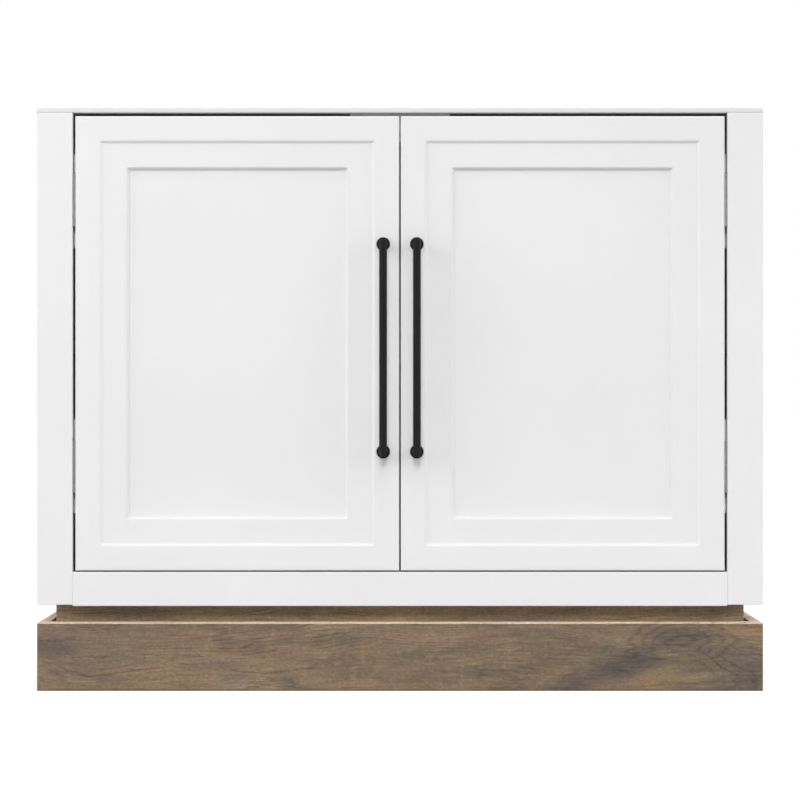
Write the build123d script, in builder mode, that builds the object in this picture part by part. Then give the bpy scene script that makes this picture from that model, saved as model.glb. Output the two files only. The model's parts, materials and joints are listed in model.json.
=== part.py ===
"""A free-standing two-door storage cabinet on a floating plinth, in millimetres.

Z points up, X runs along the width and the doors face -Y. The origin is on the floor, under
the middle of the whole outline, handles included.
"""

from build123d import *
import os

os.makedirs("parts", exist_ok=True)

# Overall size
overall_width = 1067.0
overall_height = 856.5
body_depth = 546.0

# Carcass boards
side_panel_thickness = 18.0
top_panel_thickness = 7.0
deck_thickness = 16.0
back_panel_thickness = 9.0
top_rail_thickness = 18.0
front_top_rail_height = 60.0
rear_top_rail_height = 90.0
board_ease = 0.8

# Face frame
stile_width = 52.5
frame_thickness = 20.0
bottom_rail_height = 50.2
bottom_rail_drop = 2.0
edge_ease = 1.5
top_joint_chamfer = 1.2

# Plinth, and the base inside it that carries the body
plinth_height = 101.0
reveal_height = 25.5
plinth_thickness = 18.0
plinth_top_chamfer = 2.5
plinth_corner_chamfer = 1.8
base_thickness = 18.0
base_setback = 44.0
base_slot = 5.0
spacer_height = 70.0
spacer_floor_gap = 10.0
spacer_block_width = 60.0
spacer_strip_length = 380.0
spacer_block_place_shares = {"left": -0.38, "middle": 0.0, "right": 0.38}
plinth_screw_length = 54.0
plinth_screw_diameter = 4.0
plinth_screw_head_diameter = 8.0
plinth_screw_spacing = 36.0

# Doors
hinge_gap = 4.0
centre_gap = 2.2
door_top_gap = 5.0
door_bottom_gap = 2.0
stop_clearance = 0.4

# Section of a door member, from its outer edge inwards
outer_land_width = 36.5
step_bevel_width = 3.0
step_bevel_depth = 3.0
inner_land_width = 36.0
inner_bevel_width = 3.5
inner_bevel_depth = 5.2
inner_arris = 0.8
groove_depth = 9.0
groove_clearance = 0.3
groove_end_gap = 0.5
door_panel_thickness = 7.0

# Hinges
hinge_axis_depth = 2.0
hinge_length = 76.0
hinge_leaf_width = 16.0
hinge_leaf_thickness = 1.2
knuckle_radius = 1.75
knuckle_count = 5
knuckle_gap = 0.3
knuckle_side_clearance = 0.3
hinge_pin_radius = 0.9
hinge_pin_clearance = 0.05
hinge_pin_head_radius = 1.5
hinge_pin_head_height = 0.8
leaf_screw_spacing = 26.0
leaf_screw_count = 3
upper_hinge_inset = 123.5
lower_hinge_inset = 153.0

# Blocks behind the doors that stop them
stop_depth = 40.0
stop_block_height = 138.0
stop_lap = 6.0
catch_block_width = 148.0
catch_block_height = 30.0

# Magnetic catch
catch_body_width = 56.0
catch_body_depth = 30.0
catch_body_height = 12.0
catch_ear_width = 12.0
catch_ear_thickness = 3.0
catch_setback = 1.0
magnet_width = 18.0
magnet_depth = 8.0
magnet_height = 7.0
magnet_centre_distance = 32.0
magnet_clearance = 0.1
magnet_air_gap = 0.15
strike_lap = 2.5
strike_thickness = 1.2

# Small countersunk screws
screw_diameter = 3.0
screw_head_diameter = 5.4
screw_length = 14.0
screw_tip_length = 3.0
fit_clearance = 0.05

# Cross recess of every screw, as shares of its head's diameter
recess_length_share = 0.55
recess_width_share = 0.16
recess_depth_share = 0.2

# Dowels
dowel_diameter = 8.0
dowel_length = 30.0
dowel_clearance = 0.1
dowel_end_gap = 0.5
dowel_chamfer = 0.8
dowel_depth_in_panel = 12.0
top_rail_dowel_spacing = 32.0
bottom_rail_dowel_spacing = 24.0
deck_dowel_place_shares = (0.12, 0.5, 0.88)

# Handles
handle_centres = 305.0
handle_upper_inset = 188.0
handle_edge_inset = 23.6
handle_projection = 35.0
handle_bar_diameter = 11.4
handle_overhang = 6.8
handle_cap_diameter = 9.4
handle_cap_length = 3.4
handle_cap_ease = 0.8
rosette_diameter = 20.0
rosette_thickness = 2.2
rosette_step_diameter = 16.0
rosette_step_thickness = 1.4
rosette_ease = 0.5
post_diameter = 12.4
saddle_wrap = 3.0
spigot_diameter = 5.0
spigot_length = 4.0
handle_screw_diameter = 4.0
handle_screw_reach = 11.0
handle_screw_head_diameter = 8.0
handle_screw_head_height = 2.4
handle_screw_hole_diameter = 4.6
thread_clearance = 0.04
hole_end_gap = 1.0

# Shelf
shelf_thickness = 16.0
shelf_setback = 40.0
shelf_back_gap = 3.0
shelf_end_gap = 2.0
shelf_pin_height = 320.0
shelf_pin_radius = 2.5
shelf_pin_hole_depth = 10.0
shelf_pin_support = 8.0
shelf_pin_collar_radius = 3.6
shelf_pin_collar_thickness = 1.2
shelf_pin_inset = 50.0
pin_hole_count = 7
pin_hole_pitch = 32.0

# Screws through the back panel into the rear rail and the deck
back_screw_count = 5
back_screw_end_distance = 45.0
back_screw_edge_distance = 12.0

# Wall fixing holes in the rear rail
wall_hole_centres = 406.4
wall_hole_diameter = 6.0

# Places that follow from the sizes above
half_width = overall_width / 2
front_y = (handle_projection - body_depth) / 2
back_y = front_y + body_depth
frame_back_y = front_y + frame_thickness
inner_back_y = back_y - back_panel_thickness
body_bottom = plinth_height + reveal_height
body_top = overall_height - top_panel_thickness
panel_inner_x = half_width - side_panel_thickness
opening_x = half_width - stile_width

rail_bottom = body_bottom - bottom_rail_drop
rail_top = rail_bottom + bottom_rail_height
deck_top = rail_top
deck_bottom = deck_top - deck_thickness

base_front_y = front_y + base_setback
base_outer_x = half_width - plinth_thickness - base_slot
plinth_inner_y = front_y + plinth_thickness
spacer_top = spacer_floor_gap + spacer_height

door_thickness = frame_thickness - stop_clearance
door_back_y = front_y + door_thickness
door_bottom = rail_top + door_bottom_gap
door_top = body_top - door_top_gap
door_hinge_x = opening_x - hinge_gap
door_free_x = centre_gap / 2
step_end = outer_land_width + step_bevel_width
inner_land_end = step_end + inner_land_width
member_width = inner_land_end + inner_bevel_width
panel_front_depth = step_bevel_depth + inner_bevel_depth + inner_arris
groove_back_depth = panel_front_depth + door_panel_thickness + groove_clearance

hinge_axis_x = opening_x - hinge_gap / 2
hinge_axis_y = front_y + hinge_axis_depth
hinge_heights = (door_top - upper_hinge_inset, door_bottom + lower_hinge_inset)
leaf_screw_y = hinge_axis_y + (hinge_leaf_width + knuckle_radius) / 2

handle_x = door_free_x + handle_edge_inset
handle_heights = (door_top - handle_upper_inset, door_top - handle_upper_inset - handle_centres)
handle_bar_radius = handle_bar_diameter / 2
handle_axis_y = front_y - handle_projection + handle_bar_radius

catch_block_bottom = body_top - catch_block_height
catch_bottom = catch_block_bottom - catch_body_height
catch_front_y = door_back_y + strike_thickness + magnet_air_gap + catch_setback
magnet_front_y = catch_front_y - catch_setback
magnet_z = catch_block_bottom - catch_ear_thickness - magnet_height / 2
magnet_x = magnet_centre_distance / 2
strike_half_width = magnet_width / 2 + strike_lap
strike_half_height = magnet_height / 2 + strike_lap

shelf_front_y = frame_back_y + stop_depth + shelf_setback
shelf_back_y = inner_back_y - shelf_back_gap
shelf_pin_z = deck_top + shelf_pin_height
shelf_pin_ys = (shelf_front_y + shelf_pin_inset, shelf_back_y - shelf_pin_inset)

front_rail_y = frame_back_y + stop_depth
rear_rail_y = inner_back_y - top_rail_thickness

sides = {"left": -1, "right": 1}


def box_between(corner, opposite, mode=Mode.ADD):
    """Add or cut the box that has these two opposite corners."""
    size = Vector(*opposite) - Vector(*corner)
    with Locations((Vector(*opposite) + Vector(*corner)) / 2):
        Box(abs(size.X), abs(size.Y), abs(size.Z), mode=mode)


def cut_at(shape, planes):
    """Cut a copy of a shape from the open part at each plane."""
    with Locations(*planes):
        add(shape, mode=Mode.SUBTRACT)


def save(piece, label):
    """Name a finished piece and write it."""
    piece.part.label = label
    export_step(piece.part, f"parts/{label}.step")


def facing(origin, direction):
    """A plane at a point, facing a direction."""
    return Plane(origin=origin, z_dir=direction)


# Fasteners, each made once about Z with its head or its middle at the origin
def cut_cross_recess(head_diameter, outer_z, inward):
    """Cut a driver's cross into a head whose outer face is at this height."""
    half_length = head_diameter * recess_length_share / 2
    half_width = head_diameter * recess_width_share / 2
    inner_z = outer_z + inward * head_diameter * recess_depth_share
    for half_x, half_y in ((half_length, half_width), (half_width, half_length)):
        box_between((-half_x, -half_y, outer_z), (half_x, half_y, inner_z), Mode.SUBTRACT)


def make_countersunk(diameter, head_diameter, length, clearance):
    """A countersunk screw whose flat head faces +Z, or with a clearance the hole for one."""
    radius = diameter / 2 + clearance
    head_radius = head_diameter / 2 + clearance
    with BuildPart() as screw:
        with BuildSketch(Plane.XZ):
            with BuildLine():
                Polyline(
                    (0, 0),
                    (head_radius, 0),
                    (radius, radius - head_radius),
                    (radius, screw_tip_length - length - clearance),
                    (0, -length - clearance),
                    close=True,
                )
            make_face()
        revolve(axis=Axis.Z)
        if not clearance:
            cut_cross_recess(head_diameter, 0, -1)
    return screw.part


def make_rod(diameter, length):
    """A plain rod along Z with its middle at the origin."""
    with BuildPart() as rod:
        Cylinder(diameter / 2, length)
    return rod.part


small_screw = make_countersunk(screw_diameter, screw_head_diameter, screw_length, 0)
small_screw_hole = make_countersunk(
    screw_diameter, screw_head_diameter, screw_length, fit_clearance
)
plinth_screw = make_countersunk(
    plinth_screw_diameter, plinth_screw_head_diameter, plinth_screw_length, 0
)
plinth_screw_hole = make_countersunk(
    plinth_screw_diameter, plinth_screw_head_diameter, plinth_screw_length, fit_clearance
)

with BuildPart() as dowel:
    Cylinder(dowel_diameter / 2, dowel_length)
    chamfer(dowel.edges().filter_by(GeomType.CIRCLE), dowel_chamfer)

dowel_hole = make_rod(dowel_diameter + dowel_clearance, dowel_length + dowel_end_gap * 2)
wall_hole = make_rod(wall_hole_diameter, (top_rail_thickness + back_panel_thickness) * 2)
pin_hole = make_rod(
    (shelf_pin_radius + fit_clearance) * 2, (shelf_pin_hole_depth + fit_clearance) * 2
)


# Where the fasteners go
def frame_leaf_screw_planes(side):
    """Screws through both frame leaves of one side, into the stile's inner edge."""
    face_x = opening_x - hinge_leaf_thickness
    middle = (leaf_screw_count - 1) / 2
    return [
        facing(
            (side * face_x, leaf_screw_y, height + (step - middle) * leaf_screw_spacing),
            (-side, 0, 0),
        )
        for height in hinge_heights
        for step in range(leaf_screw_count)
    ]


def door_leaf_screw_planes(side):
    """Screws through both door leaves of one side, into the door's hinge edge."""
    face_x = door_hinge_x + hinge_leaf_thickness
    middle = (leaf_screw_count - 1) / 2
    return [
        facing(
            (side * face_x, leaf_screw_y, height + (step - middle) * leaf_screw_spacing),
            (side, 0, 0),
        )
        for height in hinge_heights
        for step in range(leaf_screw_count)
    ]


def strike_screw_plane(side):
    """The screw in the middle of one door's strike plate."""
    return facing((side * magnet_x, door_back_y + strike_thickness, magnet_z), (0, 1, 0))


def handle_planes(side):
    """The handle's two fixing points on the front of a door, facing out."""
    return [
        Plane(origin=(side * handle_x, front_y, height), x_dir=(1, 0, 0), z_dir=(0, -1, 0))
        for height in handle_heights
    ]


catch_screw_planes = [
    facing(
        (
            side * (catch_body_width - catch_ear_width) / 2,
            catch_front_y + catch_body_depth / 2,
            catch_block_bottom - catch_ear_thickness,
        ),
        (0, 0, -1),
    )
    for side in sides.values()
]

dowel_middle_x = panel_inner_x - dowel_length / 2 + dowel_depth_in_panel


def panel_dowel_planes(side, places):
    """Dowels that join a side panel to a board that ends against it."""
    return [facing((side * dowel_middle_x, y, z), (1, 0, 0)) for y, z in places]


deck_dowel_places = [
    (frame_back_y + share * (inner_back_y - frame_back_y), deck_bottom + deck_thickness / 2)
    for share in deck_dowel_place_shares
]


def top_rail_dowel_places(rail_y, rail_height):
    """Two dowels, one above the other, in the end of a top rail."""
    middle = body_top - rail_height / 2
    return [
        (rail_y + top_rail_thickness / 2, middle + half * top_rail_dowel_spacing / 2)
        for half in (-1, 1)
    ]


front_rail_dowel_places = top_rail_dowel_places(front_rail_y, front_top_rail_height)
rear_rail_dowel_places = top_rail_dowel_places(rear_rail_y, rear_top_rail_height)


def frame_dowel_planes(side):
    """Two dowels that join the bottom rail to a stile."""
    middle = rail_bottom + bottom_rail_height / 2
    return [
        facing(
            (
                side * opening_x,
                front_y + frame_thickness / 2,
                middle + half * bottom_rail_dowel_spacing / 2,
            ),
            (1, 0, 0),
        )
        for half in (-1, 1)
    ]


spacer_block_xs = {
    place: share * overall_width for place, share in spacer_block_place_shares.items()
}
plinth_screw_planes = [
    facing(
        (
            x + half * plinth_screw_spacing / 2,
            base_front_y + base_thickness,
            spacer_floor_gap + spacer_height / 2,
        ),
        (0, 1, 0),
    )
    for x in spacer_block_xs.values()
    for half in (-1, 1)
]
back_screw_pitch = (panel_inner_x - back_screw_end_distance) * 2 / (back_screw_count - 1)
back_screw_planes = [
    facing((back_screw_end_distance - panel_inner_x + step * back_screw_pitch, back_y, z), (0, 1, 0))
    for z in (body_top - back_screw_edge_distance, deck_bottom + deck_thickness / 2)
    for step in range(back_screw_count)
]
wall_hole_z = body_top - rear_top_rail_height / 2
wall_hole_planes = [
    facing((side * wall_hole_centres / 2, inner_back_y, wall_hole_z), (0, 1, 0))
    for side in sides.values()
]


# Carcass
def make_side_panel(side):
    """A side panel, with rows of shelf pin holes on its inner face."""
    with BuildPart() as panel:
        box_between(
            (side * panel_inner_x, frame_back_y, body_bottom),
            (side * half_width, back_y, body_top),
        )
        lower_edges = panel.edges().filter_by(Axis.Y).group_by(Axis.Z)[0]
        fillet(lower_edges.sort_by(Axis.X)[0 if side < 0 else -1], board_ease)
        lowest_hole = shelf_pin_z - (pin_hole_count - 1) / 2 * pin_hole_pitch
        cut_at(
            pin_hole,
            [
                facing((side * panel_inner_x, y, lowest_hole + row * pin_hole_pitch), (1, 0, 0))
                for y in shelf_pin_ys
                for row in range(pin_hole_count)
            ],
        )
        cut_at(dowel_hole, panel_dowel_planes(side, deck_dowel_places))
        cut_at(dowel_hole, panel_dowel_planes(side, front_rail_dowel_places))
        cut_at(dowel_hole, panel_dowel_planes(side, rear_rail_dowel_places))
    return panel


for side_name, side in sides.items():
    side_panel = make_side_panel(side)
    save(side_panel, f"{side_name}_side_panel")

with BuildPart() as top_panel:
    box_between((-half_width, front_y, body_top), (half_width, back_y, overall_height))
    fillet(top_panel.edges().group_by(Axis.Z)[-1], board_ease)
    chamfer(top_panel.edges().group_by(Axis.Z)[0].sort_by(Axis.Y)[0], top_joint_chamfer)
save(top_panel, "top_panel")

with BuildPart() as bottom_panel:
    box_between(
        (-panel_inner_x, frame_back_y, deck_bottom), (panel_inner_x, inner_back_y, deck_top)
    )
    for side in sides.values():
        cut_at(dowel_hole, panel_dowel_planes(side, deck_dowel_places))
    cut_at(small_screw_hole, back_screw_planes)
save(bottom_panel, "bottom_panel")

with BuildPart() as back_panel:
    box_between((-panel_inner_x, inner_back_y, deck_bottom), (panel_inner_x, back_y, body_top))
    cut_at(wall_hole, wall_hole_planes)
    cut_at(small_screw_hole, back_screw_planes)
save(back_panel, "back_panel")

with BuildPart() as front_top_rail:
    box_between(
        (-panel_inner_x, front_rail_y, body_top - front_top_rail_height),
        (panel_inner_x, front_rail_y + top_rail_thickness, body_top),
    )
    for side in sides.values():
        cut_at(dowel_hole, panel_dowel_planes(side, front_rail_dowel_places))
save(front_top_rail, "front_top_rail")

with BuildPart() as rear_top_rail:
    box_between(
        (-panel_inner_x, rear_rail_y, body_top - rear_top_rail_height),
        (panel_inner_x, inner_back_y, body_top),
    )
    for side in sides.values():
        cut_at(dowel_hole, panel_dowel_planes(side, rear_rail_dowel_places))
    cut_at(wall_hole, wall_hole_planes)
    cut_at(small_screw_hole, back_screw_planes)
save(rear_top_rail, "rear_top_rail")


# Face frame
def make_stile(side):
    """An upright of the face frame, with its front arrises eased and its top edge chamfered."""
    with BuildPart() as stile:
        box_between(
            (side * opening_x, front_y, body_bottom), (side * half_width, frame_back_y, body_top)
        )
        fillet(stile.edges().filter_by(Axis.Z).group_by(Axis.Y)[0], edge_ease)
        fillet(stile.faces().sort_by(Axis.Z)[0].edges().sort_by(Axis.Y)[0], board_ease)
        chamfer(stile.faces().sort_by(Axis.Z)[-1].edges().sort_by(Axis.Y)[0], top_joint_chamfer)
        cut_at(small_screw_hole, frame_leaf_screw_planes(side))
        cut_at(dowel_hole, frame_dowel_planes(side))
    return stile


for side_name, side in sides.items():
    stile = make_stile(side)
    save(stile, f"{side_name}_stile")

with BuildPart() as bottom_rail:
    box_between((-opening_x, front_y, rail_bottom), (opening_x, frame_back_y, rail_top))
    fillet(bottom_rail.edges().filter_by(Axis.X).group_by(Axis.Y)[0], edge_ease)
    for side in sides.values():
        cut_at(dowel_hole, frame_dowel_planes(side))
save(bottom_rail, "bottom_rail")

with BuildPart() as carcass_dowels:
    for side in sides.values():
        with Locations(
            *panel_dowel_planes(side, deck_dowel_places),
            *panel_dowel_planes(side, front_rail_dowel_places),
            *panel_dowel_planes(side, rear_rail_dowel_places),
            *frame_dowel_planes(side),
        ):
            add(dowel.part)
save(carcass_dowels, "carcass_dowels")


# Blocks that stop the doors
def make_stop_block(side, height):
    """A block behind a stile that laps behind the door's hinge edge."""
    with BuildPart() as block:
        box_between(
            (side * (door_hinge_x - stop_lap), frame_back_y, height - stop_block_height / 2),
            (side * panel_inner_x, front_rail_y, height + stop_block_height / 2),
        )
        chamfer(block.edges().filter_by(Axis.Z).group_by(Axis.Y)[-1], edge_ease)
    return block


for side_name, side in sides.items():
    for level, height in zip(("upper", "lower"), hinge_heights):
        stop_block = make_stop_block(side, height)
        save(stop_block, f"{side_name}_{level}_stop_block")

with BuildPart() as catch_block:
    box_between(
        (-catch_block_width / 2, frame_back_y, catch_block_bottom),
        (catch_block_width / 2, front_rail_y, body_top),
    )
    chamfer(catch_block.edges().filter_by(Axis.Z).group_by(Axis.Y)[0], edge_ease)
    cut_at(small_screw_hole, catch_screw_planes)
save(catch_block, "catch_block")

# Magnetic catch under the block, one magnet for each door
def magnet_corners(side, clearance, front):
    """Opposite corners of one magnet, or with a clearance of its pocket."""
    half_magnet_width = magnet_width / 2 + clearance
    half_magnet_height = magnet_height / 2 + clearance
    return (
        (side * magnet_x - half_magnet_width, front, magnet_z - half_magnet_height),
        (
            side * magnet_x + half_magnet_width,
            magnet_front_y + magnet_depth + clearance,
            magnet_z + half_magnet_height,
        ),
    )


with BuildPart() as catch_housing:
    body_half_width = catch_body_width / 2 - catch_ear_width
    catch_back_y = catch_front_y + catch_body_depth
    box_between(
        (-catch_body_width / 2, catch_front_y, catch_block_bottom - catch_ear_thickness),
        (catch_body_width / 2, catch_back_y, catch_block_bottom),
    )
    box_between(
        (-body_half_width, catch_front_y, catch_bottom),
        (body_half_width, catch_back_y, catch_block_bottom),
    )
    cut_at(small_screw_hole, catch_screw_planes)
    for side in sides.values():
        box_between(*magnet_corners(side, magnet_clearance, catch_front_y), mode=Mode.SUBTRACT)
save(catch_housing, "catch_housing")

with BuildPart() as catch_magnets:
    for side in sides.values():
        box_between(*magnet_corners(side, 0, magnet_front_y))
save(catch_magnets, "catch_magnets")


# Plinth: three mitred boards that stand on the floor round the base
def plinth_corner(side):
    """Where a front corner's chamfer meets the mitre: the tip of both boards there."""
    return (side * (half_width - plinth_corner_chamfer / 2), front_y + plinth_corner_chamfer / 2)


with BuildPart() as plinth_front_board:
    with BuildSketch(Plane.XY):
        with BuildLine():
            Polyline(
                (plinth_corner_chamfer - half_width, front_y),
                (half_width - plinth_corner_chamfer, front_y),
                plinth_corner(1),
                (half_width - plinth_thickness, plinth_inner_y),
                (plinth_thickness - half_width, plinth_inner_y),
                plinth_corner(-1),
                close=True,
            )
        make_face()
    extrude(amount=plinth_height)
    front_top = plinth_front_board.faces().sort_by(Axis.Z)[-1].edges().sort_by(Axis.Y)[0]
    chamfer(front_top, plinth_top_chamfer)
    cut_at(plinth_screw_hole, plinth_screw_planes)
save(plinth_front_board, "plinth_front_board")


def make_plinth_side(side):
    """A side board of the plinth, mitred to the front board."""
    inner_x = half_width - plinth_thickness
    with BuildPart() as board:
        with BuildSketch(Plane.XY):
            with BuildLine():
                Polyline(
                    plinth_corner(side),
                    (side * half_width, front_y + plinth_corner_chamfer),
                    (side * half_width, back_y),
                    (side * inner_x, back_y),
                    (side * inner_x, plinth_inner_y),
                    close=True,
                )
            make_face()
        extrude(amount=plinth_height)
        top_edges = board.faces().sort_by(Axis.Z)[-1].edges().filter_by(Axis.Y)
        chamfer(top_edges.sort_by(Axis.X)[0 if side < 0 else -1], plinth_top_chamfer)
    return board


for side_name, side in sides.items():
    plinth_side = make_plinth_side(side)
    save(plinth_side, f"plinth_{side_name}_board")

# Base that stands inside the plinth and carries the bottom panel
with BuildPart() as base_front_board:
    box_between(
        (-base_outer_x, base_front_y, 0), (base_outer_x, base_front_y + base_thickness, deck_bottom)
    )
    fillet(base_front_board.edges().filter_by(Axis.Z).group_by(Axis.Y)[0], board_ease)
    cut_at(plinth_screw_hole, plinth_screw_planes)
save(base_front_board, "base_front_board")

with BuildPart() as base_back_board:
    box_between(
        (-base_outer_x, inner_back_y - base_thickness, 0), (base_outer_x, inner_back_y, deck_bottom)
    )
save(base_back_board, "base_back_board")


def make_base_side(side):
    """A side board of the base, between its front and back boards."""
    with BuildPart() as board:
        box_between(
            (side * base_outer_x, base_front_y + base_thickness, 0),
            (side * (base_outer_x - base_thickness), inner_back_y - base_thickness, deck_bottom),
        )
    return board


def make_spacer_strip(side):
    """A strip that fills the slot between a plinth side board and the base."""
    middle_y = (base_front_y + inner_back_y) / 2
    with BuildPart() as strip:
        box_between(
            (side * base_outer_x, middle_y - spacer_strip_length / 2, spacer_floor_gap),
            (side * (base_outer_x + base_slot), middle_y + spacer_strip_length / 2, spacer_top),
        )
    return strip


for side_name, side in sides.items():
    base_side = make_base_side(side)
    save(base_side, f"base_{side_name}_board")
    spacer_strip = make_spacer_strip(side)
    save(spacer_strip, f"plinth_{side_name}_spacer_strip")


def make_spacer_block(x):
    """A block that holds the plinth's front board off the base."""
    with BuildPart() as block:
        box_between(
            (x - spacer_block_width / 2, plinth_inner_y, spacer_floor_gap),
            (x + spacer_block_width / 2, base_front_y, spacer_top),
        )
        cut_at(plinth_screw_hole, plinth_screw_planes)
    return block


for place, x in spacer_block_xs.items():
    spacer_block = make_spacer_block(x)
    save(spacer_block, f"plinth_{place}_spacer_block")

with BuildPart() as plinth_screws:
    with Locations(*plinth_screw_planes):
        add(plinth_screw)
save(plinth_screws, "plinth_screws")

# Shelf on four pins
with BuildPart() as shelf:
    shelf_bottom = shelf_pin_z + shelf_pin_radius
    box_between(
        (shelf_end_gap - panel_inner_x, shelf_front_y, shelf_bottom),
        (panel_inner_x - shelf_end_gap, shelf_back_y, shelf_bottom + shelf_thickness),
    )
    fillet(shelf.edges().filter_by(Axis.X).group_by(Axis.Y)[0], board_ease)
save(shelf, "shelf")

with BuildPart() as shelf_pins:
    for side in sides.values():
        for y in shelf_pin_ys:
            panel_face = facing((side * panel_inner_x, y, shelf_pin_z), (side, 0, 0))
            with BuildSketch(panel_face.offset(-shelf_pin_support)):
                Circle(shelf_pin_radius)
            extrude(amount=shelf_pin_support + shelf_pin_hole_depth)
            with BuildSketch(panel_face):
                Circle(shelf_pin_collar_radius)
            extrude(amount=-shelf_pin_collar_thickness)
save(shelf_pins, "shelf_pins")


# Hinges: two leaves with interleaved knuckles on a pin, in the gap beside each door
def knuckle_span(height, index):
    """The lowest and highest point of one knuckle of the hinge at this height."""
    pitch = hinge_length / knuckle_count
    low = height - hinge_length / 2 + index * pitch
    return low + knuckle_gap / 2, low + pitch - knuckle_gap / 2


def make_leaves(side, face_x, back_x, own_knuckles, screw_planes):
    """Both leaves on one edge, between two distances from the middle, with their own knuckles."""
    with BuildPart() as leaves:
        for height in hinge_heights:
            box_between(
                (side * face_x, hinge_axis_y, knuckle_span(height, 0)[0]),
                (
                    side * back_x,
                    hinge_axis_y + hinge_leaf_width,
                    knuckle_span(height, knuckle_count - 1)[1],
                ),
            )
            for index in range(knuckle_count):
                low, high = knuckle_span(height, index)
                if index % 2 == own_knuckles:
                    with BuildSketch(Plane((side * hinge_axis_x, hinge_axis_y, low))):
                        Circle(knuckle_radius)
                    extrude(amount=high - low)
                else:
                    box_between(
                        (side * face_x, hinge_axis_y, low - knuckle_gap),
                        (
                            side * back_x,
                            hinge_axis_y + knuckle_radius + knuckle_side_clearance,
                            high + knuckle_gap,
                        ),
                        mode=Mode.SUBTRACT,
                    )
            with Locations((side * hinge_axis_x, hinge_axis_y, height)):
                Cylinder(
                    hinge_pin_radius + hinge_pin_clearance,
                    hinge_length + knuckle_gap,
                    mode=Mode.SUBTRACT,
                )
        cut_at(small_screw_hole, screw_planes)
    return leaves


for side_name, side in sides.items():
    frame_leaves = make_leaves(
        side, opening_x - hinge_leaf_thickness, opening_x, 0, frame_leaf_screw_planes(side)
    )
    save(frame_leaves, f"{side_name}_hinge_frame_leaves")
    door_leaves = make_leaves(
        side, door_hinge_x + hinge_leaf_thickness, door_hinge_x, 1, door_leaf_screw_planes(side)
    )
    save(door_leaves, f"{side_name}_hinge_door_leaves")

with BuildPart() as hinge_pins:
    for side in sides.values():
        for height in hinge_heights:
            low = knuckle_span(height, 0)[0]
            high = knuckle_span(height, knuckle_count - 1)[1]
            with BuildSketch(Plane((side * hinge_axis_x, hinge_axis_y, low))):
                Circle(hinge_pin_radius)
            extrude(amount=high - low)
            with BuildSketch(Plane((side * hinge_axis_x, hinge_axis_y, high))):
                Circle(hinge_pin_head_radius)
            extrude(amount=hinge_pin_head_height)
            with BuildSketch(Plane((side * hinge_axis_x, hinge_axis_y, low))):
                Circle(hinge_pin_head_radius)
            extrude(amount=-hinge_pin_head_height)
save(hinge_pins, "hinge_pins")

with BuildPart() as cabinet_wood_screws:
    with Locations(
        *catch_screw_planes,
        *frame_leaf_screw_planes(-1),
        *frame_leaf_screw_planes(1),
        *back_screw_planes,
    ):
        add(small_screw)
save(cabinet_wood_screws, "cabinet_wood_screws")


# Doors: four mitred members round a panel that sits in their grooves
def make_handle_screw():
    """A pan-head screw through a door into a handle post, about Z with the door's front at zero."""
    with BuildPart() as screw:
        with BuildSketch(Plane.XY.offset(-door_thickness)):
            Circle(handle_screw_diameter / 2)
        extrude(amount=door_thickness + handle_screw_reach)
        with BuildSketch(Plane.XY.offset(-door_thickness)):
            Circle(handle_screw_head_diameter / 2)
        extrude(amount=-handle_screw_head_height)
        head_rim = screw.edges().filter_by(GeomType.CIRCLE).sort_by(Axis.Z)[0]
        fillet(head_rim, handle_screw_head_height / 2)
        cut_cross_recess(handle_screw_head_diameter, -door_thickness - handle_screw_head_height, 1)
    return screw.part


handle_screw = make_handle_screw()
handle_screw_hole = make_rod(handle_screw_hole_diameter, (door_thickness + edge_ease) * 2)


def make_member(side, outward, holes):
    """One mitred member of a door: its section runs inwards from the edge that faces outward."""
    hinge_edge = side * door_hinge_x
    free_edge = side * door_free_x
    door_middle = Vector((hinge_edge + free_edge) / 2, front_y, (door_bottom + door_top) / 2)
    half_size = Vector(abs(hinge_edge - free_edge) / 2, 0, (door_top - door_bottom) / 2)
    inward = outward * -1
    along = inward.cross(Vector(0, 1, 0))
    reach = abs(outward.dot(half_size))
    half_length = abs(along.dot(half_size))
    start = door_middle + outward * reach - along * half_length
    end = start + along * half_length * 2
    with BuildPart() as member:
        with BuildSketch(Plane(origin=start, x_dir=inward, z_dir=along)):
            with BuildLine():
                Polyline(
                    (edge_ease, 0),
                    (outer_land_width, 0),
                    (step_end, step_bevel_depth),
                    (inner_land_end, step_bevel_depth),
                    (member_width, step_bevel_depth + inner_bevel_depth),
                    (member_width, panel_front_depth),
                    (member_width - groove_depth, panel_front_depth),
                    (member_width - groove_depth, groove_back_depth),
                    (member_width, groove_back_depth),
                    (member_width, door_thickness),
                    (0, door_thickness),
                    (0, edge_ease),
                )
                TangentArc((0, edge_ease), (edge_ease, 0), tangent=(0, -1))
            make_face()
        extrude(amount=half_length * 2)
        split(bisect_by=Plane(origin=start, z_dir=along - inward), keep=Keep.TOP)
        split(bisect_by=Plane(origin=end, z_dir=inward * -1 - along), keep=Keep.TOP)
        for shape, planes in holes:
            cut_at(shape, planes)
    return member


def make_door_panel(side):
    """The flat panel, with its edges in the members' grooves."""
    lap = member_width - groove_depth + groove_end_gap
    with BuildPart() as panel:
        box_between(
            (side * (door_hinge_x - lap), front_y + panel_front_depth, door_bottom + lap),
            (
                side * (door_free_x + lap),
                front_y + panel_front_depth + door_panel_thickness,
                door_top - lap,
            ),
        )
    return panel


def make_strike_plate(side):
    """A steel plate on the back of a door, where the magnet meets it."""
    with BuildPart() as plate:
        box_between(
            (side * magnet_x - strike_half_width, door_back_y, magnet_z - strike_half_height),
            (
                side * magnet_x + strike_half_width,
                door_back_y + strike_thickness,
                magnet_z + strike_half_height,
            ),
        )
        fillet(plate.edges().filter_by(Axis.Y), edge_ease)
        cut_at(small_screw_hole, [strike_screw_plane(side)])
    return plate


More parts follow.
